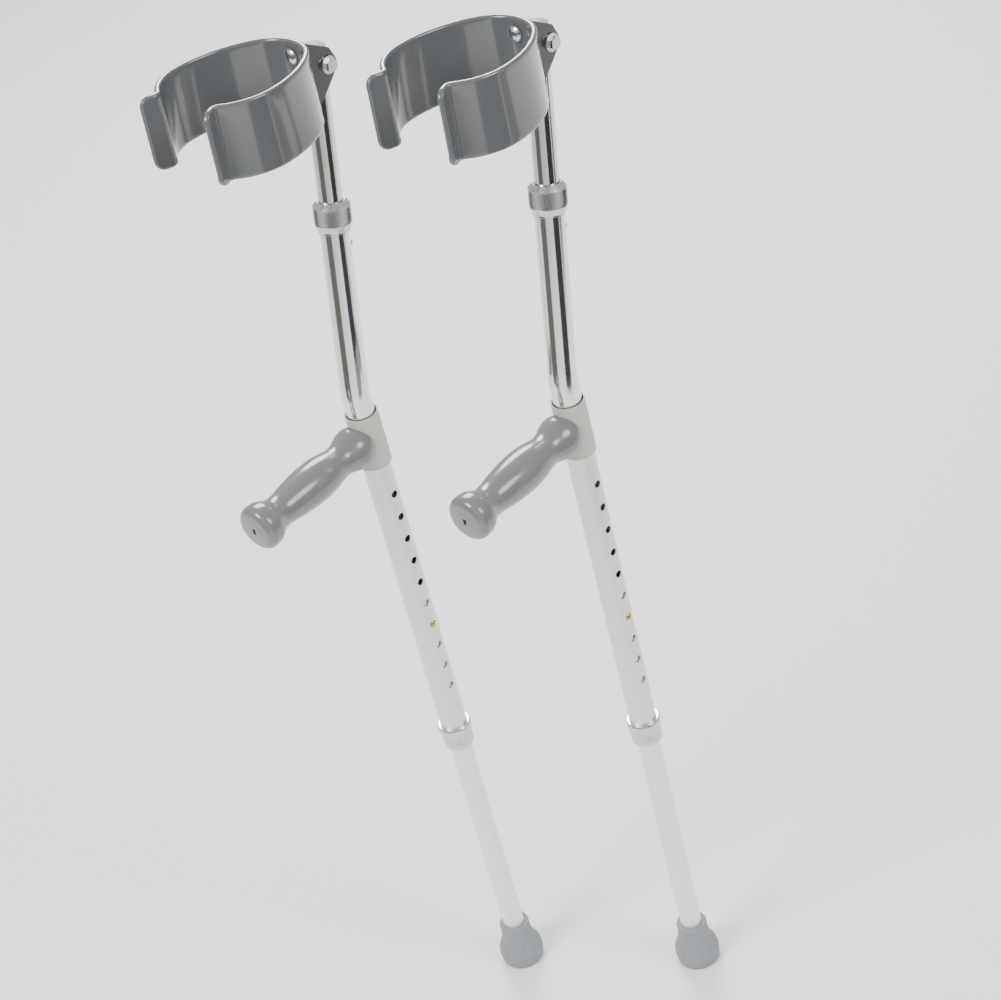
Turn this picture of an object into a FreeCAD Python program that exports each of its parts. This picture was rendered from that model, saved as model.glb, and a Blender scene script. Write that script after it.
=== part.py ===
"""A pair of adjustable forearm crutches, each an assembly of separate pieces.

Millimetres, +Z up. The origin is the centre of the right crutch's foot, on the floor. The handgrips point
along -Y, the user's forward direction, and the arm section above the bend leans back towards +Y. The right
crutch stands at the origin and the left one is the same crutch moved by second_crutch_offset.
"""
import FreeCAD
import Part
import math
import os

V = FreeCAD.Vector
ORIGIN = V(0, 0, 0)
X = V(1, 0, 0)
Y = V(0, 1, 0)
Z = V(0, 0, 1)

# ---- tubes ----
main_tube_d = 25.4
main_tube_wall = 1.5
inner_tube_d = 21.0             # leg tube and forearm tube
inner_tube_wall = 1.5
bend_height = 720.0             # where the two straight axes of the main tube meet
bend_radius = 90.0
lean_deg = 11.0                 # of the arm section, backwards
main_tube_bottom = 312.0
arm_tube_top = 170.0            # end of the main tube, measured up the arm section from the bend

# ---- height adjustment ----
hole_pitch = 25.4
leg_hole_count = 10
top_leg_hole_z = 612.0
leg_button_hole = 7             # the hole that holds the button, counted from the top
arm_hole_count = 4
arm_button_turn_deg = 60.0      # of the forearm's button, from +X towards the back
top_arm_hole = 137.0            # up the arm section from the bend; it holds the button
lock_hole_d = 7.0
button_d = 6.4
button_proud = 1.6              # how far the button stands out of the main tube
button_gap = 0.1                # radial, in the inner tube's hole
leg_tube_bottom = 12.0
leg_tube_above_button = 33.0
arm_tube_below_button = 34.0
spring_strip = 0.7
spring_width = 7.0
spring_above_button = 9.0
spring_depth = 24.0
spring_foot = 2.4               # width of the V spring's closed end

# ---- lock collars ----
collar_wall = 3.3                # of the wide end, outside the main tube
collar_length = 27.0
collar_lip = 3.2
collar_small_wall = 1.6          # of the narrow end
collar_taper = 5.0              # length of the coned end
collar_rim = 1.4                # chamfer of the leg collar's rim
collar_chamfer = 4.0            # polished cone at the top of the forearm collar
collar_band = 8.0               # length of the leg collar's wide end
collet_ring = 4.0
collet_spigot = 14.0
collet_head_gap = 0.5
thread_gap = 0.05               # radial, between a collar and the main tube that carries it
slide_gap = 0.1                 # radial, of the sliding fits
free_gap = 0.4                  # between moving pieces that don't touch

# ---- handgrip ----
handle_height = 672.0
sleeve_wall = 2.3
sleeve_length = 53.5
sleeve_mouth = 6.0              # depth of the wider mouth under the bend
sleeve_mouth_gap = 1.1
handle_reach = 146.0            # grip end, from the tube's axis
core_d = 12.0
core_wall = 2.0
core_end_cover = 9.0            # plastic over the end of the core
root_d = 39.6
neck_d = 30.0
belly_d = 37.4
flange_d = 42.0
flange_length = 15.0
end_slot_width = 3.2
end_slot_height = 6.0
end_slot_depth = 5.0

# ---- arm cuff, in its own frame: origin at the top of its back, y rearwards, z up ----
cuff_top = 322.0                # up the arm section from the bend
cuff_back = -19.5               # of the cuff's back, rearwards of the tube's axis
cuff_droop_deg = 6.8
cuff_height = 63.0
cuff_wall = 5.0
cuff_edge_radius = 1.6
cuff_back_radius = 42.0
cuff_back_sweep = 50.0
cuff_half_width = 54.5          # to the middle of the wall
cuff_front_radius = 45.0
cuff_front_sweep = 52.0
lip_run = 3.0
lip_radius = 6.0
lip_flare_deg = 68.0            # heading of the flared lip, 90 is straight ahead
lip_length = 10.0
pad_width = 25.0
pad_height = 52.0
pad_top = 4.0

# ---- cuff bracket and its pivot, in the cuff's frame ----
bracket_sheet = 1.5
bracket_gap = 1.5               # between the forearm tube and each ear
pivot_y = 19.1
pivot_z = -29.5
bracket_top = -3.5
bracket_bottom = -59.0
ear_top_y = 24.0
ear_top_z = -16.5
ear_rear_y = 29.0
ear_low_y = 17.0
ear_low_z = -46.0
ear_corner = 4.0
pivot_bolt_d = 6.0
pivot_gap = 0.06                # radial, of the bush in the ears
pivot_bush_d = 9.0
bolt_flange_d = 15.0
bolt_flange = 1.6
bolt_head_af = 10.0
bolt_head = 4.2
nut_af = 10.0
nut_height = 6.0
cap_overhang = 0.9
cap_spigot = 16.0
forearm_tube_top = 300.5        # up the arm section from the bend
rivet_d = 5.0
rivet_head_d = 12.0
rivet_head = 2.2
rivet_tail_d = 8.0
rivet_tail = 1.2
rivet_washer_d = 15.0
rivet_washer = 1.0
rivet_seat_gap = 0.3            # radial, of the spot face round each washer
rivet_drops = (14.0, 45.0)

# ---- rubber foot ----
tip_height = 50.0
tip_base_d = 45.0
tip_floor_d = 39.0
tip_belly_z = 12.0
tip_shoulder_z = 20.0
tip_shoulder_d = 42.0
tip_waist_z = 28.5
tip_waist_wall = 6.5            # outside the leg tube
tip_neck_wall = 3.9
tip_bead_step = 0.8             # radial, of the bead at the mouth over the neck
tip_bead = 4.5
tip_edge_radius = 2.0
tip_washer = 2.0
tread_groove = 1.4
tread_radii = (12.0, 15.5)      # inner radius of each floor groove
tread_groove_width = 1.6

# ---- the pair ----
second_crutch_offset = V(163.0, 89.0, 0)

main_r = main_tube_d / 2
main_bore_r = main_r - main_tube_wall
sleeve_d = main_tube_d + 2 * sleeve_wall
collar_d = main_tube_d + 2 * collar_wall
collar_small_d = main_tube_d + 2 * collar_small_wall
tip_neck_d = inner_tube_d + 2 * tip_neck_wall
tip_bead_d = tip_neck_d + 2 * tip_bead_step
tip_waist_d = inner_tube_d + 2 * tip_waist_wall
inner_r = inner_tube_d / 2
inner_bore_r = inner_r - inner_tube_wall
leg_button_z = top_leg_hole_z - (leg_button_hole - 1) * hole_pitch
leg_tube_top = leg_button_z + leg_tube_above_button
forearm_tube_bottom = top_arm_hole - arm_tube_below_button
ear_inner_x = inner_r + bracket_gap
ear_outer_x = ear_inner_x + bracket_sheet
spring_half = math.sqrt(inner_bore_r ** 2 - (spring_width / 2) ** 2) - slide_gap


def rod(radius, length, base=ORIGIN, axis=Z):
    return Part.makeCylinder(radius, length, base, axis)


def ring(outer, inner, length, base=ORIGIN, axis=Z):
    return rod(outer, length, base, axis).cut(rod(inner, length, base, axis))


def block(low, high):
    return Part.makeBox(high.x - low.x, high.y - low.y, high.z - low.z, low)


def turned(points):
    """A solid of revolution of a closed (radius, height) outline about +Z."""
    wire = Part.makePolygon([V(r, 0, z) for r, z in points + points[:1]])
    return Part.Face(wire).revolve(ORIGIN, Z, 360)


def hexagon(across_flats, height, base, axis):
    radius = across_flats / math.sqrt(3)
    corners = [V(radius * math.cos(math.radians(60 * i)), radius * math.sin(math.radians(60 * i)), 0)
               for i in range(7)]
    prism = Part.Face(Part.makePolygon(corners)).extrude(V(0, 0, height))
    prism.Placement = FreeCAD.Placement(base, FreeCAD.Rotation(Z, axis))
    return prism


def in_arm(shape):
    """From the arm section's frame, z up its axis from the bend, to the crutch's frame."""
    shape = shape.copy()
    shape.rotate(ORIGIN, X, -lean_deg)
    shape.translate(V(0, 0, bend_height))
    return shape


def in_cuff(shape):
    """From the cuff's frame to the crutch's frame."""
    shape = shape.copy()
    shape.rotate(ORIGIN, X, cuff_droop_deg)
    shape.translate(V(0, cuff_back, cuff_top))
    return in_arm(shape)


def cuff_to_arm(y, z):
    """A point of the cuff's frame as (rearwards, up) in the arm section's frame."""
    c = math.cos(math.radians(cuff_droop_deg))
    s = math.sin(math.radians(cuff_droop_deg))
    return cuff_back + y * c - z * s, cuff_top + y * s + z * c


pivot_back, pivot_up = cuff_to_arm(pivot_y, pivot_z)


# ---- main tube, its grip and the collets in its ends ----
def bent_rod(radius, bottom, arm_top):
    """A solid rod along the main tube's axis: straight, bent back, straight."""
    tangent = bend_radius * math.tan(math.radians(lean_deg / 2))
    bend_start = bend_height - tangent
    lower = rod(radius, bend_start - bottom, V(0, 0, bottom))
    disc = Part.Face(Part.Wire(Part.makeCircle(radius, V(0, 0, bend_start), Z)))
    bend = disc.revolve(V(0, bend_radius, bend_start), V(-1, 0, 0), lean_deg)
    upper = in_arm(rod(radius, arm_top - tangent, V(0, 0, tangent)))
    return lower.fuse([bend, upper])


def main_tube():
    shape = bent_rod(main_r, main_tube_bottom, arm_tube_top)
    shape = shape.cut(bent_rod(main_bore_r, main_tube_bottom, arm_tube_top))
    for i in range(leg_hole_count):
        shape = shape.cut(rod(lock_hole_d / 2, main_r + 1, V(0, 0, top_leg_hole_z - i * hole_pitch), X))
    for i in range(arm_hole_count):
        hole = rod(lock_hole_d / 2, main_r + 1, V(0, 0, top_arm_hole - i * hole_pitch), X)
        shape = shape.cut(in_arm(arm_facing(hole)))
    return shape.cut(handle_core_rod()).removeSplitter()


def handle_core_rod():
    length = handle_reach - core_end_cover + main_r
    return rod(core_d / 2, length, V(0, main_r, handle_height), -Y)


def handle_core():
    length = handle_reach - core_end_cover + main_r
    core = ring(core_d / 2, core_d / 2 - core_wall, length, V(0, main_r, handle_height), -Y)
    outside = rod(main_r, core_d, V(0, 0, handle_height - core_d / 2))
    rear = core.common(outside)
    front = core.cut(block(V(-core_d, 0, 0), V(core_d, main_r + 1, handle_height * 2)))
    return rear.fuse(front).removeSplitter()


def handle_sleeve():
    base = V(0, 0, handle_height - sleeve_length / 2)
    shape = ring(sleeve_d / 2, main_r, sleeve_length, base)
    mouth_base = base + V(0, 0, sleeve_length - sleeve_mouth)
    shape = shape.cut(rod(main_r + sleeve_mouth_gap, sleeve_mouth, mouth_base))
    return shape.cut(handle_core_rod())


def handgrip():
    """A waisted grip turned about the core's axis and saddled onto the sleeve."""
    end = handle_reach
    flange = end - flange_length
    neck_start = sleeve_d / 2 + 23.5
    neck_end = flange - 14.0
    belly = neck_start + 0.4 * (neck_end - neck_start)
    stations = [
        (sleeve_d / 2 - 7.0, root_d / 2 - 4.3), (sleeve_d / 2 - 3.0, root_d / 2 - 1.6),
        (sleeve_d / 2 + 4.0, root_d / 2), (sleeve_d / 2 + 12.0, root_d / 2 - 1.4), (neck_start, neck_d / 2),
        (belly - 18.0, (neck_d + belly_d) / 4 - 0.2), (belly, belly_d / 2), (belly + 18.0, belly_d / 2 - 0.7),
        (neck_end - 13.0, neck_d / 2 + 1.0), (neck_end, neck_d / 2), (flange - 7.0, flange_d / 2 - 4.0),
        (flange, flange_d / 2 - 0.6), (flange + 5.0, flange_d / 2), (end - 5.0, flange_d / 2 - 0.5),
        (end - 1.8, flange_d / 2 - 3.2), (end - 0.5, flange_d / 2 - 8.5), (end, flange_d / 6)]
    side = Part.BSplineCurve()
    side.interpolate([V(r, 0, t) for t, r in stations])
    first = stations[0]
    last = stations[-1]
    edges = [side.toShape(),
             Part.makeLine(V(last[1], 0, last[0]), V(0, 0, last[0])),
             Part.makeLine(V(0, 0, last[0]), V(0, 0, first[0])),
             Part.makeLine(V(0, 0, first[0]), V(first[1], 0, first[0]))]
    body = Part.Face(Part.Wire(edges)).revolve(ORIGIN, Z, 360)
    body.rotate(ORIGIN, X, 90)
    body.translate(V(0, 0, handle_height))
    body = body.cut(rod(sleeve_d / 2, 2 * root_d, V(0, 0, handle_height - root_d)))
    body = body.cut(handle_core_rod())
    slot = block(V(-end_slot_width / 2, -end, handle_height - end_slot_height / 2),
                 V(end_slot_width / 2, -end + end_slot_depth, handle_height + end_slot_height / 2))
    return body.cut(slot)


def collet():
    """A plastic bush in the mouth of the main tube: z = 0 is the tube's end, z > 0 outside it."""
    head = turned([(inner_r + slide_gap, 0), (main_r - collet_head_gap, 0),
                   (main_r - collet_head_gap - 1.0, collet_ring), (inner_r + slide_gap, collet_ring)])
    spigot = ring(main_bore_r, inner_r + slide_gap, collet_spigot, V(0, 0, -collet_spigot))
    return head.fuse(spigot).removeSplitter()


def lock_collar(side):
    """A turned collar from its outer (radius, height) corners: z = 0 is its rim, z < 0 down the main tube."""
    lip_r = inner_r + free_gap
    bore = main_r + thread_gap
    return turned([(lip_r, 0)] + side + [(bore, -collar_length), (bore, -collar_lip), (lip_r, -collar_lip)])


def leg_lock_collar():
    r = collar_d / 2
    small = collar_small_d / 2
    return collar_on_end(lock_collar([
        (small - collar_rim, 0), (small, -collar_rim), (r - 0.8, -collar_length + collar_band + 1.0),
        (r, -collar_length + collar_band), (r, 1.2 - collar_length), (r - 1.0, -collar_length)]))


def forearm_lock_collar():
    r = collar_d / 2
    small = collar_small_d / 2
    return collar_on_end(lock_collar([
        (r - collar_chamfer, 0), (r, -collar_chamfer), (r, -collar_length + collar_taper + 2.0),
        (small, 2.0 - collar_length), (small - 0.5, -collar_length)]))


def at_leg_end(shape):
    """From an end piece's frame to the main tube's lower end, which faces down."""
    shape = shape.copy()
    shape.rotate(ORIGIN, X, 180)
    shape.translate(V(0, 0, main_tube_bottom))
    return shape


def at_arm_end(shape):
    shape = shape.copy()
    shape.translate(V(0, 0, arm_tube_top))
    return in_arm(shape)


def collar_on_end(shape):
    shape = shape.copy()
    shape.translate(V(0, 0, collet_ring + free_gap + collar_lip))
    return shape


# ---- spring buttons ----
def snap_spring():
    """A V of strip steel pressed together inside the tube, closed end down; the button is at z = 0, on +X."""
    r = spring_half
    t = spring_strip
    foot = spring_foot / 2
    outline = [(-r, spring_above_button), (-r + t, spring_above_button), (-foot + t, t - spring_depth),
               (foot - t, t - spring_depth), (r - t, spring_above_button), (r, spring_above_button),
               (foot, -spring_depth), (-foot, -spring_depth)]
    wire = Part.makePolygon([V(x, -spring_width / 2, z) for x, z in outline + outline[:1]])
    return Part.Face(wire).extrude(V(0, spring_width, 0))


def snap_button():
    start = spring_half
    dome = button_proud
    end = main_r + button_proud
    r = button_d / 2
    shank = rod(r, end - dome - start, V(start, 0, 0), X)
    ball_r = (r * r + dome * dome) / (2 * dome)
    ball = Part.makeSphere(ball_r, V(end - ball_r, 0, 0))
    head = ball.common(rod(r, dome, V(end - dome, 0, 0), X))
    return shank.fuse(head).removeSplitter()


def button_hole():
    return rod(button_d / 2 + button_gap, inner_r + 1, ORIGIN, X)


def arm_facing(shape):
    """Turned from +X to the side that the forearm's button faces."""
    shape = shape.copy()
    shape.rotate(ORIGIN, Z, arm_button_turn_deg)
    return shape


def tube_bush(spigot_length, flange_length):
    """A plug in the end of an inner tube: z = 0 is the tube's end, z > 0 outside it."""
    hole = inner_bore_r - 3.0
    flange = ring(main_bore_r - slide_gap, hole, flange_length)
    spigot = ring(inner_bore_r, hole, spigot_length, V(0, 0, -spigot_length))
    return flange.fuse(spigot).removeSplitter()


# ---- leg ----
def leg_tube():
    shape = ring(inner_r, inner_bore_r, leg_tube_top - leg_tube_bottom, V(0, 0, leg_tube_bottom))
    hole = button_hole()
    hole.translate(V(0, 0, leg_button_z))
    return shape.cut(hole)


def raised(shape, height):
    shape = shape.copy()
    shape.translate(V(0, 0, height))
    return shape


def rubber_tip():
    edge = tip_edge_radius
    bead_z = tip_height - tip_bead
    outline = [
        (0, 0), (tip_floor_d / 2, 0), (tip_floor_d / 2 + edge, edge), (tip_base_d / 2, tip_belly_z),
        (tip_base_d / 2 - 0.4, tip_belly_z + 4.0), (tip_shoulder_d / 2, tip_shoulder_z),
        (tip_waist_d / 2, tip_waist_z), ((tip_waist_d + tip_neck_d) / 4 - 0.2, (tip_waist_z + bead_z) / 2),
        (tip_neck_d / 2, bead_z - 1.0),
        (tip_bead_d / 2, bead_z), (tip_bead_d / 2, tip_height - 1.5), (tip_bead_d / 2 - 1.0, tip_height),
        (inner_r, tip_height), (inner_r, leg_tube_bottom - tip_washer), (0, leg_tube_bottom - tip_washer)]
    shape = turned(outline)
    for radius in tread_radii:
        shape = shape.cut(ring(radius + tread_groove_width, radius, tread_groove))
    return shape


def tip_washer_disc():
    return rod(inner_r, tip_washer, V(0, 0, leg_tube_bottom - tip_washer))


# ---- forearm tube ----
def pivot_rod(radius, half_length):
    return rod(radius, 2 * half_length, V(-half_length, pivot_back, pivot_up), X)


def forearm_tube():
    shape = ring(inner_r, inner_bore_r, forearm_tube_top - forearm_tube_bottom, V(0, 0, forearm_tube_bottom))
    shape = shape.cut(raised(arm_facing(button_hole()), top_arm_hole))
    return in_arm(shape.cut(pivot_rod(pivot_bush_d / 2, ear_inner_x)))


def forearm_end_cap():
    """A domed plug, rounded about the pivot so that the bracket swings clear of it."""
    dome_r = pivot_y - bracket_sheet - free_gap
    flange = rod(inner_r + cap_overhang, dome_r, V(0, 0, forearm_tube_top))
    dome = flange.common(Part.makeSphere(dome_r, V(0, pivot_back, pivot_up)))
    spigot = rod(inner_bore_r, cap_spigot, V(0, 0, forearm_tube_top - cap_spigot))
    return in_arm(dome.fuse(spigot).cut(pivot_rod(pivot_bush_d / 2, ear_inner_x)))


def pivot_bush():
    """A sleeve through the tube and both ears, which turn on its ends."""
    half = ear_outer_x + pivot_gap
    return in_arm(pivot_rod(pivot_bush_d / 2, half).cut(pivot_rod(pivot_bolt_d / 2, half)))


def pivot_bolt():
    face = ear_outer_x + pivot_gap
    centre = V(face, pivot_back, pivot_up)
    shank = rod(pivot_bolt_d / 2, 2 * face + nut_height + 0.8, V(face, pivot_back, pivot_up), -X)
    flange = rod(bolt_flange_d / 2, bolt_flange, centre, X)
    head = hexagon(bolt_head_af, bolt_head, centre + V(bolt_flange, 0, 0), X)
    return in_arm(shank.fuse([flange, head]).removeSplitter())


def pivot_nut():
    face = V(-ear_outer_x - pivot_gap, pivot_back, pivot_up)
    flange = rod(bolt_flange_d / 2, bolt_flange, face, -X)
    nut = hexagon(nut_af, nut_height - bolt_flange, face - V(bolt_flange, 0, 0), -X)
    return in_arm(flange.fuse(nut).removeSplitter().cut(pivot_rod(pivot_bolt_d / 2, 2 * ear_outer_x)))


# ---- cuff ----
def heading(angle):
    a = math.radians(angle)
    return V(math.cos(a), -math.sin(a), 0)


def wall_path(offset):
    """Half of one face of the wall, from the middle of the back round +X to the lip; offset is outwards."""
    rise = 1 - math.sin(math.radians(cuff_back_sweep))
    side_radius = (cuff_half_width - cuff_back_radius * math.sin(math.radians(cuff_back_sweep))) / rise
    front = 90.0 + cuff_front_sweep
    steps = [(cuff_back_radius, cuff_back_sweep), (side_radius, 90.0 - cuff_back_sweep),
             (cuff_front_radius, cuff_front_sweep), (None, lip_run),
             (lip_radius, lip_flare_deg - front), (None, lip_length)]
    at = V(0, offset - cuff_wall / 2, 0)
    angle = 0.0
    edges = []
    for radius, amount in steps:
        if radius is None:
            end = at + heading(angle) * amount
            edges.append(Part.makeLine(at, end))
        else:
            side = 1 if amount > 0 else -1
            r = radius + side * offset
            centre = at + heading(angle + 90 * side) * r
            middle = centre - heading(angle + 90 * side + amount / 2) * r
            end = centre - heading(angle + 90 * side + amount) * r
            edges.append(Part.Arc(at, middle, end).toShape())
            angle += amount
        at = end
    return edges, at, angle


def cuff_wall_half():
    outer, outer_end, angle = wall_path(cuff_wall / 2)
    inner, inner_end, angle = wall_path(-cuff_wall / 2)
    tip = (outer_end + inner_end) * 0.5 + heading(angle) * (cuff_wall / 2)
    edges = outer + [Part.Arc(outer_end, tip, inner_end).toShape()] + inner
    edges.append(Part.makeLine(V(0, -cuff_wall, 0), ORIGIN))
    face = Part.Face(Part.Wire(Part.__sortEdges__(edges)))
    return face.extrude(V(0, 0, -cuff_height))


def arm_cuff():
    half = cuff_wall_half()
    shape = half.fuse(half.mirror(ORIGIN, X)).removeSplitter()
    rims = [edge for edge in shape.Edges if edge.BoundBox.ZLength < 0.01]
    shape = shape.makeFillet(cuff_edge_radius, rims)
    outer_r = cuff_back_radius + cuff_wall / 2
    pad_depth = outer_r - math.sqrt(outer_r ** 2 - (pad_width / 2) ** 2) + 1.0
    pad_low = V(-pad_width / 2, -pad_depth, -pad_top - pad_height)
    shape = shape.fuse(block(pad_low, V(pad_width / 2, 0, -pad_top)))
    for drop in rivet_drops:
        shape = shape.cut(rod(rivet_d / 2, 2 * cuff_wall, V(0, -2 * cuff_wall, -drop), Y))
        seat = rod(rivet_washer_d / 2 + rivet_seat_gap, cuff_wall, V(0, -cuff_wall, -drop), -Y)
        shape = shape.cut(seat)
    return in_cuff(shape.removeSplitter())


def bracket():
    """A folded channel: a web behind the cuff and an ear on each side of the forearm tube."""
    web = block(V(-ear_outer_x, 0, bracket_bottom), V(ear_outer_x, bracket_sheet, bracket_top))
    profile = [(0, bracket_top), (ear_top_y, ear_top_z),
               (ear_rear_y, pivot_z + 2.0), (ear_rear_y, pivot_z - 5.0),
               (ear_low_y, ear_low_z), (bracket_sheet, bracket_bottom), (0, bracket_bottom)]
    wire = Part.makePolygon([V(ear_inner_x, y, z) for y, z in profile + profile[:1]])
    ear = Part.Face(wire).extrude(V(bracket_sheet, 0, 0))
    corners = [edge for edge in ear.Edges
               if edge.BoundBox.XLength > bracket_sheet / 2 and edge.BoundBox.YMin > bracket_sheet * 2]
    ear = ear.makeFillet(ear_corner, corners)
    shape = web.fuse([ear, ear.mirror(ORIGIN, X)])
    hole = rod(pivot_bush_d / 2 + pivot_gap, 2 * ear_outer_x + 2, V(-ear_outer_x - 1, pivot_y, pivot_z), X)
    shape = shape.cut(hole)
    for drop in rivet_drops:
        shape = shape.cut(rod(rivet_d / 2, bracket_sheet, V(0, 0, -drop), Y))
    return in_cuff(shape.removeSplitter())


def rivet_washers():
    """Flat cups of plastic under the rivet heads, let into the curve of the wall."""
    seat = -cuff_wall
    shapes = [ring(rivet_washer_d / 2, rivet_d / 2, rivet_washer, V(0, seat, -drop), -Y)
              for drop in rivet_drops]
    return in_cuff(Part.makeCompound(shapes))


def cuff_rivets():
    shapes = []
    seat = -cuff_wall - rivet_washer
    for drop in rivet_drops:
        shank = rod(rivet_d / 2, bracket_sheet - seat, V(0, seat, -drop), Y)
        tail = rod(rivet_tail_d / 2, rivet_tail, V(0, bracket_sheet, -drop), Y)
        r = rivet_head_d / 2
        ball_r = (r * r + rivet_head * rivet_head) / (2 * rivet_head)
        ball = Part.makeSphere(ball_r, V(0, seat - rivet_head + ball_r, -drop))
        head = ball.common(rod(r, rivet_head, V(0, seat, -drop), -Y))
        shapes.append(shank.fuse([tail, head]).removeSplitter())
    return in_cuff(Part.makeCompound(shapes))


def crutch():
    """Every piece of one crutch, in the crutch's frame."""
    spring = snap_spring()
    button = snap_button()
    bush = tube_bush(12.0, 6.0)
    lower_bush = tube_bush(8.0, 5.0)
    lower_bush.rotate(ORIGIN, X, 180)
    return {
        "main_tube": main_tube(),
        "handle_core": handle_core(),
        "handle_sleeve": handle_sleeve(),
        "handgrip": handgrip(),
        "leg_collet": at_leg_end(collet()),
        "forearm_collet": at_arm_end(collet()),
        "leg_lock_collar": at_leg_end(leg_lock_collar()),
        "forearm_lock_collar": at_arm_end(forearm_lock_collar()),
        "leg_tube": leg_tube(),
        "leg_tube_bush": raised(bush, leg_tube_top),
        "leg_snap_spring": raised(spring, leg_button_z),
        "leg_snap_button": raised(button, leg_button_z),
        "tip_washer": tip_washer_disc(),
        "rubber_tip": rubber_tip(),
        "forearm_tube": forearm_tube(),
        "forearm_tube_bush": in_arm(raised(lower_bush, forearm_tube_bottom)),
        "forearm_snap_spring": in_arm(raised(arm_facing(spring), top_arm_hole)),
        "forearm_snap_button": in_arm(raised(arm_facing(button), top_arm_hole)),
        "forearm_end_cap": forearm_end_cap(),
        "cuff_pivot_bush": pivot_bush(),
        "cuff_pivot_bolt": pivot_bolt(),
        "cuff_pivot_nut": pivot_nut(),
        "cuff_bracket": bracket(),
        "arm_cuff": arm_cuff(),
        "rivet_washers": rivet_washers(),
        "cuff_rivets": cuff_rivets(),
    }


def main():
    os.makedirs("parts", exist_ok=True)
    pieces = crutch()
    for side, offset in (("right", ORIGIN), ("left", second_crutch_offset)):
        for name, shape in pieces.items():
            placed = shape.copy()
            placed.translate(offset)
            placed.exportStep(f"parts/{side}_{name}.step")
            if side == "right":
                print(name, len(placed.Solids), placed.isValid(), round(placed.Volume))


main()
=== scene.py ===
import bmesh
import bpy
import math
from mathutils import Matrix, Vector


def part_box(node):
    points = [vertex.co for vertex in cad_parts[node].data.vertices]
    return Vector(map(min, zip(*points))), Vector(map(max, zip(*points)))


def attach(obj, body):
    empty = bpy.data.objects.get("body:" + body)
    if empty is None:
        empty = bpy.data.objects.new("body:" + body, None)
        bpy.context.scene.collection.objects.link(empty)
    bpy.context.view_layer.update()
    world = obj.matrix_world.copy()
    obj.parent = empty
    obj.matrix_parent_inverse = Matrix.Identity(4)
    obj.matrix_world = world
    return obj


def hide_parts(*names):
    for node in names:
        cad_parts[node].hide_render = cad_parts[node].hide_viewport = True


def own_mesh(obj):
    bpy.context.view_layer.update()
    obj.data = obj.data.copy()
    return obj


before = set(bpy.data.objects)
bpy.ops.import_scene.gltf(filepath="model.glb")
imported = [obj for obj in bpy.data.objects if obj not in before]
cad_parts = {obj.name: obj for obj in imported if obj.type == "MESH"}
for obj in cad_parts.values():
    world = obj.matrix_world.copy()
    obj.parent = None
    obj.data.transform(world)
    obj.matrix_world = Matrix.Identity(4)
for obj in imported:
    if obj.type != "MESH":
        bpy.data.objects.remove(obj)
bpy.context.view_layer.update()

# A pair of forearm crutches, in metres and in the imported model's frame: +Z is up and the grips
# point towards -Y. On each one a leg tube slides in the main tube's lower end, and a forearm
# tube with the cuff on it slides in the upper end.
SIDES = ("right", "left")

TUBE_R = 0.0127                 # main tube, outside
INNER_R = 0.0105                # leg tube and forearm tube, outside
BEND = Vector((0, 0, 0.720))    # above here the main tube leans away from the grips
LEAN = math.radians(11)
ARM_END = 0.170                 # the main tube's upper end, up the arm section from the bend
LEG_END = 0.312                 # the main tube's lower end, above the floor


# ---- placing and making pieces ----
def crutch_place(side):
    """The second crutch is the first one moved: their feet give the step."""
    low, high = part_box(side + "_rubber_tip")
    return Matrix.Translation(((low[0] + high[0]) / 2, (low[1] + high[1]) / 2, 0))


def arm_place():
    """The arm section's own frame: its origin at the bend, and Z up the leaning tube."""
    return Matrix.Translation(BEND) @ Matrix.Rotation(-LEAN, 4, "X")


def make_piece(name, verts, faces, place, weld=None):
    """A mesh object with its faces turned outwards. Points nearer than weld become one."""
    mesh = bpy.data.meshes.new(name)
    mesh.from_pydata(verts, [], faces)
    mesh.transform(place)
    solid = bmesh.new()
    solid.from_mesh(mesh)
    if weld:
        bmesh.ops.remove_doubles(solid, verts=solid.verts, dist=weld)
    bmesh.ops.recalc_face_normals(solid, faces=solid.faces)
    solid.to_mesh(mesh)
    solid.free()
    piece = bpy.data.objects.new(name, mesh)
    bpy.context.scene.collection.objects.link(piece)
    return piece


def smooth(piece, degrees):
    """Smooth shading that keeps edges sharper than the angle."""
    for face in piece.data.polygons:
        face.use_smooth = True
    piece.data.set_sharp_from_angle(angle=math.radians(degrees))


def lathe(name, outline, place, steps, cut):
    """A closed (radius, height) outline turned about Z. cut(radius, height, angle) gives the
    radius that knurling or notches leave there."""
    verts = []
    for i in range(steps):
        angle = 2 * math.pi * i / steps
        for r, z in outline:
            radius = cut(r, z, angle)
            verts.append((radius * math.cos(angle), radius * math.sin(angle), z))
    n = len(outline)
    faces = []
    for i in range(steps):
        j = (i + 1) % steps
        for k in range(n):
            m = (k + 1) % n
            faces.append((i * n + k, j * n + k, j * n + m, i * n + m))
    piece = make_piece(name, verts, faces, place, weld=1e-6)
    smooth(piece, 28)
    return piece


def steps_between(a, b, count):
    """Evenly spaced outline points from a to b, both of them included."""
    return [(a[0] + (b[0] - a[0]) * i / count, a[1] + (b[1] - a[1]) * i / count)
            for i in range(count + 1)]


def settle(piece, body, node, material):
    """Gives a piece its finish and body, and hides the CAD node that it stands for."""
    piece.data.materials.append(material)
    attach(piece, body)
    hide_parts(node)


# ---- finishes ----
def linear(code):
    """An sRGB hex colour as linear RGBA."""
    values = [int(code[i:i + 2], 16) / 255 for i in (0, 2, 4)]
    return [v / 12.92 if v <= 0.04045 else ((v + 0.055) / 1.055) ** 2.4 for v in values] + [1]


def main_shader(material):
    return material.node_tree.nodes["Principled BSDF"]


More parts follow.
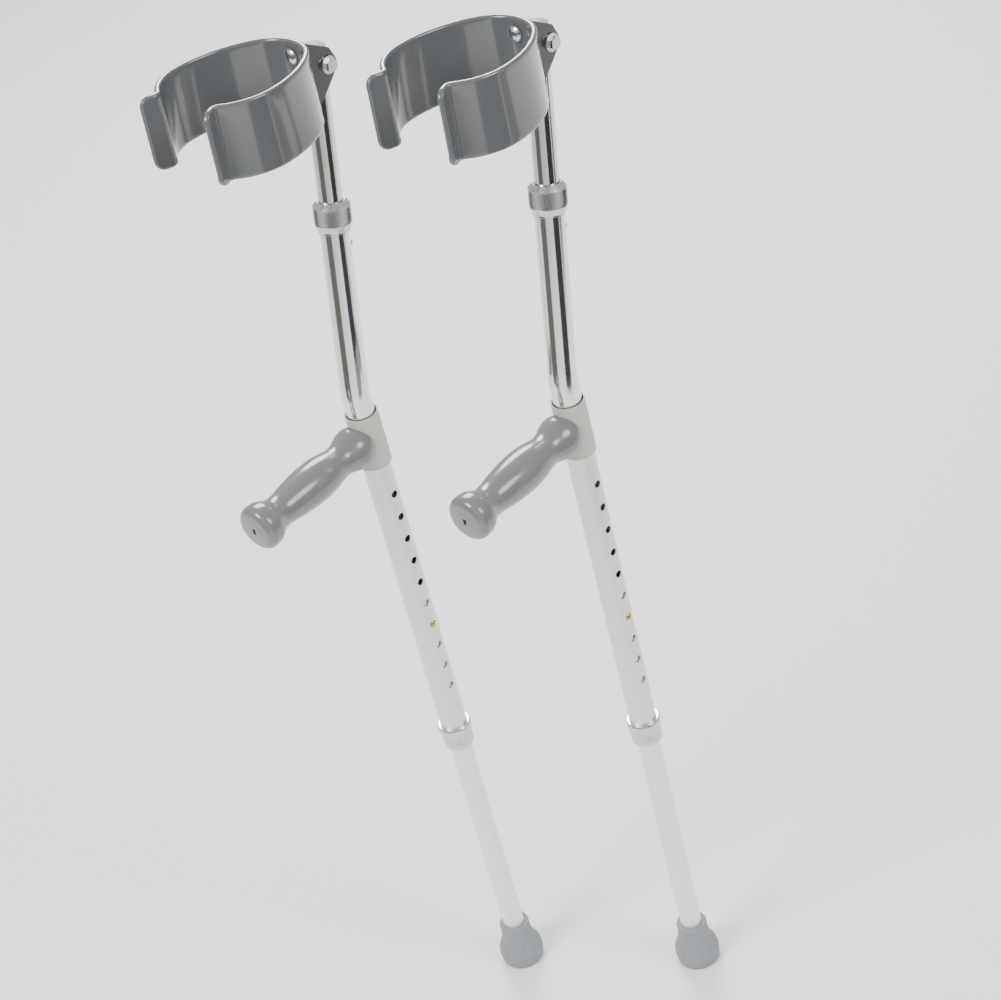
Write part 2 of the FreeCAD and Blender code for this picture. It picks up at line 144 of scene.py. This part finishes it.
def add_node(material, kind, settings=None, takes=None, gives=None):
    """One node with its settings. takes says which socket feeds each input, and gives says which
    input of the main shader each output goes to."""
    tree = material.node_tree
    node = tree.nodes.new(kind)
    for name, value in (settings or {}).items():
        node.inputs[name].default_value = value
    for name, source in (takes or {}).items():
        tree.links.new(source, node.inputs[name])
    for name, target in (gives or {}).items():
        tree.links.new(node.outputs[name], main_shader(material).inputs[target])
    return node


def finish(name, code, metallic, roughness, coat=0.0):
    material = bpy.data.materials.new(name)
    material.use_nodes = True
    inputs = main_shader(material).inputs
    inputs["Base Color"].default_value = linear(code)
    inputs["Metallic"].default_value = metallic
    inputs["Roughness"].default_value = roughness
    inputs["Coat Weight"].default_value = coat
    return material


GRAIN_STRENGTH = 0.35
GRAIN_DETAIL = 3


def grain(material, size_mm, stretch, bump_mm, roughness=None):
    """Noise with grains size_mm across and stretch times as long up Z, as a bump and, if asked,
    in the roughness."""
    across = 1000 / size_mm
    coords = add_node(material, "ShaderNodeTexCoord")
    scale = add_node(material, "ShaderNodeMapping",
                     {"Scale": (across, across, across / stretch)},
                     takes={"Vector": coords.outputs["Object"]})
    noise = add_node(material, "ShaderNodeTexNoise", {"Scale": 1, "Detail": GRAIN_DETAIL},
                     takes={"Vector": scale.outputs["Vector"]})
    add_node(material, "ShaderNodeBump",
             {"Strength": GRAIN_STRENGTH, "Distance": bump_mm / 1000},
             takes={"Height": noise.outputs["Fac"]}, gives={"Normal": "Normal"})
    if roughness:
        add_node(material, "ShaderNodeMapRange", {"To Min": roughness[0], "To Max": roughness[1]},
                 takes={"Value": noise.outputs["Fac"]}, gives={"Result": "Roughness"})


FINISH_CHANGE = (0.668, 0.676)  # heights inside the handle sleeve, which hides the change
MAIN_TUBE_SATIN = 0.5
MAIN_TUBE_POLISH = 0.13


def two_zone_tube():
    """Drawn aluminium, polished above the sleeve and satin anodised below it: sharp streaks of
    light over the sleeve, and an even pale sheen under it."""
    material = finish("Drawn aluminium, polished above the sleeve and satin below",
                      "E4E4E2", 1, 0.2)
    grain(material, 0.5, 60, 0.004)
    coords = add_node(material, "ShaderNodeTexCoord")
    split = add_node(material, "ShaderNodeSeparateXYZ",
                     takes={"Vector": coords.outputs["Object"]})
    add_node(material, "ShaderNodeMapRange",
             {"From Min": FINISH_CHANGE[0], "From Max": FINISH_CHANGE[1],
              "To Min": MAIN_TUBE_SATIN, "To Max": MAIN_TUBE_POLISH},
             takes={"Value": split.outputs["Z"]}, gives={"Result": "Roughness"})
    return material


# Patterns under 1 mm are near their real size, so they show only close up: from the camera they
# just soften the highlights.

# Aluminium drawn through a die and polished: clear streaks of light and dark along the tube,
# with draw lines 0.5 mm wide. The forearm tube and the grip's core.
polished_aluminium = finish("Polished drawn aluminium", "D9D8D4", 1, 0.12)
grain(polished_aluminium, 0.5, 60, 0.004)
# Drawn aluminium, satin anodised: pale, even and without clear reflections. The leg tube.
satin_aluminium = finish("Satin anodised aluminium", "EEEEEC", 1, 0.5)
grain(satin_aluminium, 0.4, 40, 0.006)
main_tube_aluminium = two_zone_tube()
# Aluminium turned from bar: bright, with highlights a little wider than a polished tube's.
turned_aluminium = finish("Turned aluminium", "C9C9C7", 1, 0.24)
# Plastic moulded with a 0.5 mm stipple: warm light grey and dull. The handle sleeve.
sleeve_plastic = finish("Matte moulded plastic, light grey", "AFAFA8", 0, 0.55)
grain(sleeve_plastic, 0.5, 1, 0.02)
# Injection-moulded vinyl: glossy, its highlights bent by slow 6 mm waves in the skin.
grip_vinyl = finish("Glossy moulded vinyl, mid grey", "686A6B", 0, 0.2, 0.4)
grain(grip_vinyl, 6.0, 1, 0.03)
# Injection-moulded polypropylene: darker and glossier, with 9 mm waves over its broad faces.
cuff_polypropylene = finish("Glossy moulded polypropylene, mid grey", "535557", 0, 0.16, 0.5)
grain(cuff_polypropylene, 9.0, 1, 0.05)
# Moulded rubber: dull and soft, with a 0.7 mm mould texture that also varies its sheen.
tip_rubber = finish("Grey rubber", "83878B", 0, 0.68)
grain(tip_rubber, 0.7, 1, 0.05, (0.6, 0.78))
# Machined acetal: a dark half-matt rim in the tube ends and under the rivets.
dark_acetal = finish("Dark acetal", "57595B", 0, 0.45)
# The forearm tube's moulded end cap: pale and matt.
cap_plastic = finish("Matte moulded plastic, pale grey", "A2A4A2", 0, 0.5)
# Pressed steel, black nickel plated: dark, with clear reflections. The cuff's bracket.
black_nickel = finish("Black nickel plated steel", "5E5E60", 1, 0.22)
# Cold-headed steel, bright zinc plated: small cool glints. Bolt, nut and rivets.
bright_zinc = finish("Bright zinc plated steel", "D2D3D4", 1, 0.2)
# Rolled spring steel: mid grey with a blurred shine.
spring_steel = finish("Spring steel", "A9A9AA", 1, 0.35)
# Turned brass: the snap buttons are small warm spots in their holes.
brass = finish("Brass", "C79A4B", 1, 0.25)

LOOKS = {
    "main_tube": main_tube_aluminium, "handle_core": polished_aluminium,
    "forearm_tube": polished_aluminium, "leg_tube": satin_aluminium,
    "leg_lock_collar": turned_aluminium, "forearm_lock_collar": turned_aluminium,
    "handle_sleeve": sleeve_plastic, "handgrip": grip_vinyl, "arm_cuff": cuff_polypropylene,
    "rubber_tip": tip_rubber, "leg_collet": dark_acetal, "forearm_collet": dark_acetal,
    "leg_tube_bush": dark_acetal, "forearm_tube_bush": dark_acetal,
    "rivet_washers": dark_acetal, "forearm_end_cap": cap_plastic, "cuff_bracket": black_nickel,
    "cuff_pivot_bolt": bright_zinc, "cuff_pivot_nut": bright_zinc, "cuff_rivets": bright_zinc,
    "cuff_pivot_bush": spring_steel, "tip_washer": spring_steel,
    "leg_snap_spring": spring_steel, "forearm_snap_spring": spring_steel,
    "leg_snap_button": brass, "forearm_snap_button": brass,
}
for side in SIDES:
    for name, material in LOOKS.items():
        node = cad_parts[f"{side}_{name}"]
        for surface in node.material_slots:
            surface.link = "OBJECT"
            surface.material = material


# ---- lock collars: turned, with a straight knurl for the fingers ----
KNURL_RIBS = 76                 # one rib each 1.3 mm round a 32 mm collar
KNURL_DEPTH = 0.00045
COLLAR_STEPS = 8 * KNURL_RIBS
COLLAR_R = 0.016
COLLAR_BORE = TUBE_R + 0.00005
COLLAR_FACE = TUBE_R + 0.0012   # the outer face is all wider than this
LIP_BORE = INNER_R + 0.0004     # the lip closes in round the inner tube
LIP_THICKNESS = 0.0032
LIP_REACH = 0.0076              # from the main tube's end to the lip's outer side


def knurled(low, high):
    """Straight knurling between two heights, on the collar's outer face only."""
    def cut(r, z, angle):
        inside = low < z < high and r > COLLAR_FACE
        return r - KNURL_DEPTH * (0.5 - 0.5 * math.cos(KNURL_RIBS * angle)) if inside else r
    return cut


def forearm_collar(side):
    """Its heights are from the main tube's upper end."""
    top = LIP_REACH
    skirt_end = -0.0194
    lip = [(LIP_BORE, top), (0.0121, top), (0.0124, top - 0.0003)]
    shoulder = [(0.01585, 0.0037), (COLLAR_R, 0.0035)]
    knurl = steps_between((COLLAR_R, 0.0033), (COLLAR_R, -0.0120), 6)
    skirt = [(0.0159, -0.0125), (0.0144, -0.0172), (0.0143, -0.0176), (0.0143, -0.0190),
             (0.0138, skirt_end)]
    bore = [(COLLAR_BORE, skirt_end), (COLLAR_BORE, top - LIP_THICKNESS),
            (LIP_BORE, top - LIP_THICKNESS)]
    place = crutch_place(side) @ arm_place() @ Matrix.Translation((0, 0, ARM_END))
    piece = lathe(f"{side}_forearm_collar_knurled", lip + shoulder + knurl + skirt + bore,
                  place, COLLAR_STEPS, knurled(-0.0122, 0.0034))
    settle(piece, f"{side}_forearm_collar", f"{side}_forearm_lock_collar",
           turned_aluminium)


def leg_collar(side):
    """A taper that is knurled, under a plain ring. Its heights are from the floor."""
    low = LEG_END - LIP_REACH
    high = low + 0.0270
    lip = [(LIP_BORE, low), (0.0128, low), (0.0131, low + 0.0003), (0.0142, low + 0.0014)]
    knurl = steps_between((0.0143, low + 0.0018), (0.0151, low + 0.0178), 6)
    ring = [(0.0153, low + 0.0182), (0.0158, low + 0.0187), (COLLAR_R, low + 0.0193),
            (COLLAR_R, low + 0.0256), (0.0157, low + 0.0262), (0.0150, high)]
    bore = [(COLLAR_BORE, high), (COLLAR_BORE, low + LIP_THICKNESS),
            (LIP_BORE, low + LIP_THICKNESS)]
    piece = lathe(f"{side}_leg_collar_knurled", lip + knurl + ring + bore, crutch_place(side),
                  COLLAR_STEPS, knurled(low + 0.0019, low + 0.0177))
    settle(piece, f"{side}_leg_collar", f"{side}_leg_lock_collar",
           turned_aluminium)


# ---- rubber foot ----
TIP_NOTCHES = 12
TIP_STEPS = 24 * TIP_NOTCHES
NOTCH_LOW = 0.0160
NOTCH_RISE = 0.0130
NOTCH_DEPTH = 0.0009
FOOT_FACE = 0.014               # the outer face is all wider than this at the notches


def notched(r, z, angle):
    """The scalloped shoulder between the foot's wide base and its neck."""
    if NOTCH_LOW < z < NOTCH_LOW + NOTCH_RISE and r > FOOT_FACE:
        wave = max(0.0, math.cos(TIP_NOTCHES * angle)) ** 2
        return r - NOTCH_DEPTH * wave * math.sin(math.pi * (z - NOTCH_LOW) / NOTCH_RISE)
    return r


def rubber_foot(side):
    """Its tread has two ring grooves 1.2 mm deep, and its neck ends in a rolled bead."""
    tread = [(0.0, 0.0), (0.0115, 0.0), (0.012, 0.0003), (0.0122, 0.0012), (0.0134, 0.0012),
             (0.0136, 0.0003), (0.014, 0.0), (0.0153, 0.0), (0.0155, 0.0003), (0.0157, 0.0012),
             (0.0169, 0.0012), (0.0171, 0.0003), (0.0174, 0.0), (0.0196, 0.0),
             (0.0206, 0.0006), (0.0213, 0.0018)]
    base = steps_between((0.0215, 0.003), (0.0224, 0.0115), 3)
    base += steps_between((0.0224, 0.0130), (0.0220, 0.0165), 3)
    shoulder = steps_between((0.0216, 0.0182), (0.0205, 0.0212), 3)
    shoulder += steps_between((0.0198, 0.0225), (0.0172, 0.0282), 5)
    neck = [(0.0165, 0.0310), (0.0158, 0.0350), (0.0152, 0.0400), (0.0146, 0.0436),
            (0.0145, 0.0444)]
    bead = [(0.0149, 0.0451), (0.0152, 0.0458), (0.0152, 0.0485), (0.0149, 0.0494),
            (0.0142, 0.0499), (0.0132, 0.05)]
    socket = [(INNER_R, 0.05), (INNER_R, 0.0100), (0.0, 0.0100)]
    piece = lathe(f"{side}_foot_moulded", tread + base + shoulder + neck + bead + socket,
                  crutch_place(side), TIP_STEPS, notched)
    settle(piece, f"{side}_leg", f"{side}_rubber_tip", tip_rubber)


# ---- arm cuff: an open band with rolled rims and flared lips ----
CUFF_HALF_WALL = 0.0025
CUFF_HEIGHT = 0.063
CUFF_HALF_WIDTH = 0.0545        # to the middle of the wall
BACK_R, BACK_TURN = 0.042, 50   # radii in metres and turns in degrees, from the back's middle
SIDE_TURN = 40
FRONT_R, FRONT_TURN = 0.045, 52
LIP_RUN_IN = 0.003              # straight wall before the lip's bend
LIP_R, LIP_TURN = 0.006, -74    # the lip bends the other way, outwards
LIP_LENGTH = 0.0125
LIP_CORNER = 0.009
LIP_END_HALF_WALL = 0.0003
RIM_R = 0.0022
RIM_PROUD = 0.0004              # the rolled rim stands out from the wall by this
RIM_HEIGHT = 0.0042
RIM_FADE = 0.0066               # where the rim has run out into the wall
PAD_HALF_WIDTH = 0.0125         # the bracket's raised seat
PAD_HALF_HEIGHT = 0.026
PAD_MIDDLE = -0.030
PAD_ROOT = -0.0029              # sunk into the wall
PAD_CHAMFER = 0.0007
CUFF_BACK = (0, -0.0195, 0.322)     # the back's top edge, in the arm section's frame
CUFF_DROOP = 6.8                # degrees from square to the arm section
STRAIGHT_STEPS = 30
ARC_STEP = 2                    # degrees


def cuff_stations():
    """The wall's middle line from the back round +X to the lip's end: (point, outward
    direction, distance)."""
    back = math.sin(math.radians(BACK_TURN))
    side_radius = (CUFF_HALF_WIDTH - BACK_R * back) / (1 - back)
    bends = [(BACK_R, BACK_TURN), (side_radius, SIDE_TURN), (FRONT_R, FRONT_TURN),
             (None, LIP_RUN_IN), (LIP_R, LIP_TURN), (None, LIP_LENGTH)]
    x, y, heading, run = 0.0, -CUFF_HALF_WALL, 0.0, 0.0
    stations = [((x, y), (0.0, 1.0), 0.0)]
    for radius, amount in bends:
        count = STRAIGHT_STEPS if radius is None else max(6, round(abs(amount) / ARC_STEP))
        turn = 0.0 if radius is None else math.radians(amount) / count
        step = amount / count if radius is None else 2 * radius * math.sin(abs(turn) / 2)
        for _ in range(count):
            x += step * math.cos(heading + turn / 2)
            y -= step * math.sin(heading + turn / 2)
            heading += turn
            run += step
            stations.append(((x, y), (math.sin(heading), math.cos(heading)), run))
    return stations


def wall_section(left):
    """(outwards, up) corners of the wall, left metres before the lip's end: rolled rims and a
    rounded lip corner."""
    half = CUFF_HALF_WALL
    if left < half:
        half = max(LIP_END_HALF_WALL, math.sqrt(half ** 2 - (half - left) ** 2))
    corner = 0.0
    if left < LIP_CORNER:
        corner = LIP_CORNER - math.sqrt(LIP_CORNER ** 2 - (LIP_CORNER - left) ** 2)
    top, bottom = -corner, corner - CUFF_HEIGHT
    edge = min(half, RIM_R)
    waist = half - min(RIM_PROUD, half / 4)
    quarter = [math.radians(15 * k) for k in range(7)]
    outer_top = [(half - edge + edge * math.cos(t), top - edge + edge * math.sin(t))
                 for t in quarter]
    outer = [(half, top - RIM_HEIGHT), (waist, top - RIM_FADE), (waist, bottom + RIM_FADE),
             (half, bottom + RIM_HEIGHT)]
    outer_bottom = [(n, top + bottom - z) for n, z in reversed(outer_top)]
    face = list(reversed(outer_top)) + outer + list(reversed(outer_bottom))
    return face + [(-n, z) for n, z in reversed(face)]


def cuff_wall():
    """The band's points and faces, from one lip's end round the back to the other's."""
    half = cuff_stations()
    length = half[-1][2]
    other = [((-x, y), (-nx, ny), run) for (x, y), (nx, ny), run in half[:0:-1]]
    verts, faces = [], []
    for (x, y), (nx, ny), run in other + half:
        section = wall_section(length - run)
        verts += [(x + nx * n, y + ny * n, z) for n, z in section]
    count = len(section)
    rings = len(other) + len(half)
    for i in range(rings - 1):
        for k in range(count):
            m = (k + 1) % count
            faces.append((i * count + k, i * count + m, (i + 1) * count + m, (i + 1) * count + k))
    faces.append(tuple(range(count - 1, -1, -1)))
    faces.append(tuple((rings - 1) * count + k for k in range(count)))
    return verts, faces


def bracket_pad(first):
    """The chamfered seat's points, and its faces numbered from first."""
    verts = []
    for y, inset in ((PAD_ROOT, 0.0), (-PAD_CHAMFER, 0.0), (0.0, PAD_CHAMFER)):
        for x, z in ((-1, 1), (1, 1), (1, -1), (-1, -1)):
            verts.append((x * (PAD_HALF_WIDTH - inset), y,
                          PAD_MIDDLE + z * (PAD_HALF_HEIGHT - inset)))
    faces = [(first, first + 1, first + 2, first + 3)]
    for level in (0, 4):
        for k in range(4):
            a, b = first + level + k, first + level + (k + 1) % 4
            faces.append((a, a + 4, b + 4, b))
    faces.append((first + 11, first + 10, first + 9, first + 8))
    return verts, faces


def cuff_shell(side):
    """The open cuff, with a raised pad at its back where the bracket sits."""
    verts, faces = cuff_wall()
    pad_verts, pad_faces = bracket_pad(len(verts))
    place = (crutch_place(side) @ arm_place() @ Matrix.Translation(CUFF_BACK)
             @ Matrix.Rotation(math.radians(CUFF_DROOP), 4, "X"))
    piece = make_piece(f"{side}_cuff_shell", verts + pad_verts, faces + pad_faces, place)
    smooth(piece, 35)
    settle(piece, f"{side}_cuff", f"{side}_arm_cuff", cuff_polypropylene)


# ---- snap springs ----
SPRING_HALF = 0.00819           # from the tube's axis to the face of each arm
SPRING_STRIP = 0.0007
SPRING_HALF_WIDTH = 0.0035
SPRING_TOP = 0.009
SPRING_BOTTOM = -0.024
SPRING_FOLD = 0.0012            # half the outside of the fold at the bottom
LEG_BUTTON = 0.4596             # up from the floor
FOREARM_BUTTON = 0.137          # up the arm section from the bend
FOREARM_BUTTON_TURN = 60        # degrees from +X towards the back


def v_spring(side, tube, place):
    """A V of strip steel inside the tube, built at rest. On the crutch its arms close by the
    button's travel when the button is pressed in."""
    r, t, fold, top, bottom = SPRING_HALF, SPRING_STRIP, SPRING_FOLD, SPRING_TOP, SPRING_BOTTOM
    outline = [(-r, top), (t - r, top), (t - fold, t + bottom), (fold - t, t + bottom),
               (r - t, top), (r, top), (fold, bottom), (-fold, bottom)]
    verts = [(x, y, z) for y in (-SPRING_HALF_WIDTH, SPRING_HALF_WIDTH) for x, z in outline]
    n = len(outline)
    faces = [(k, (k + 1) % n, n + (k + 1) % n, n + k) for k in range(n)]
    faces += [(0, 1, 2, 7), (7, 2, 3, 6), (6, 3, 4, 5)]
    faces += [(8, 15, 10, 9), (15, 14, 11, 10), (14, 13, 12, 11)]
    piece = make_piece(f"{side}_{tube}_v_spring", verts, faces, place)
    settle(piece, f"{side}_{tube}", f"{side}_{tube}_snap_spring", spring_steel)
    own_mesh(piece)


for side in SIDES:
    cuff_shell(side)
    v_spring(side, "leg", crutch_place(side) @ Matrix.Translation((0, 0, LEG_BUTTON)))
    v_spring(side, "forearm",
             crutch_place(side) @ arm_place() @ Matrix.Translation((0, 0, FOREARM_BUTTON))
             @ Matrix.Rotation(math.radians(FOREARM_BUTTON_TURN), 4, "Z"))
    forearm_collar(side)
    leg_collar(side)
    rubber_foot(side)


# ---- floor, flags, light and camera ----
FLOOR_SIZE = 12
LIGHT_AIM = (0.08, 0.04, 0.6)   # between the two crutches
ROOM_GREY = (0.9, 0.9, 0.9, 1)
ROOM_STRENGTH = 0.85


def plane(name, size, place, material):
    half = size / 2
    mesh = bpy.data.meshes.new(name)
    mesh.from_pydata([(-half, -half, 0), (half, -half, 0), (half, half, 0), (-half, half, 0)],
                     [], [(0, 1, 2, 3)])
    mesh.materials.append(material)
    panel = bpy.data.objects.new(name, mesh)
    panel.matrix_world = place
    bpy.context.scene.collection.objects.link(panel)
    return panel


def flag(name, size, position, axis, material):
    """A cloth flag stood up about an axis and seen only in reflections: polished tubes mirror it
    as a dark streak."""
    upright = Matrix.Rotation(math.radians(90), 4, axis)
    panel = plane(name, size, Matrix.Translation(position) @ upright, material)
    panel.visible_camera = False
    panel.visible_diffuse = False
    panel.visible_shadow = False


def aimed(position, target):
    """A placement at position whose -Z looks at target."""
    position = Vector(position)
    turn = (Vector(target) - position).to_track_quat("-Z", "Y")
    return Matrix.Translation(position) @ turn.to_matrix().to_4x4()


def softbox(name, position, size, power):
    data = bpy.data.lights.new(name, "AREA")
    data.shape = "DISK"
    data.size = size
    data.energy = power
    lamp = bpy.data.objects.new(name, data)
    lamp.matrix_world = aimed(position, LIGHT_AIM)
    bpy.context.scene.collection.objects.link(lamp)


# Painted board, rolled: pale and matt, with soft shadows on it.
floor_paint = finish("Pale studio floor", "F1F1F0", 0, 0.7)
# Cloth, woven: dull, so that each flag mirrors as one even tone.
black_cloth = finish("Black cloth flag", "1A1A1B", 0, 0.9)
grey_cloth = finish("Grey cloth flag", "4F4E49", 0, 0.9)
brown_cloth = finish("Brown cloth flag", "6A5F55", 0, 0.9)

plane("floor", FLOOR_SIZE, Matrix.Identity(4), floor_paint)
flag("dark_flag", 0.95, (1.25, -0.02, 0.52), "Y", black_cloth)
flag("brown_flag", 0.5, (1.2, 0.76, 0.40), "Y", brown_cloth)
flag("grey_flag", 1.1, (-0.15, -1.3, 0.60), "X", grey_cloth)

softbox("key", (-0.4, -2.4, 3.0), 1.5, 125)
softbox("fill", (2.8, 0.6, 2.6), 1.6, 70)
softbox("back", (-1.8, 2.0, 2.6), 1.6, 120)
world = bpy.data.worlds.new("soft room")
world.use_nodes = True
room = world.node_tree.nodes["Background"]
room.inputs["Color"].default_value = ROOM_GREY
room.inputs["Strength"].default_value = ROOM_STRENGTH
bpy.context.scene.world = world

# The camera's place and its own directions.
EYE = (1.396906, -1.094800, 1.846517)
RIGHTWARDS = (0.756974, 0.621656, -0.201333)
DOWNWARDS = (0.258563, -0.567920, -0.781417)
AHEAD = (-0.600113, 0.539455, -0.590638)

camera_data = bpy.data.cameras.new("view")
camera_data.sensor_width = 36
camera_data.lens = 87.2
camera_data.shift_x = -0.028
camera_data.shift_y = 0.011
camera_data.clip_end = 50
camera = bpy.data.objects.new("view", camera_data)
camera.matrix_world = Matrix(
    [(RIGHTWARDS[i], -DOWNWARDS[i], -AHEAD[i], EYE[i]) for i in range(3)] + [(0, 0, 0, 1)])
bpy.context.scene.collection.objects.link(camera)
bpy.context.scene.camera = camera
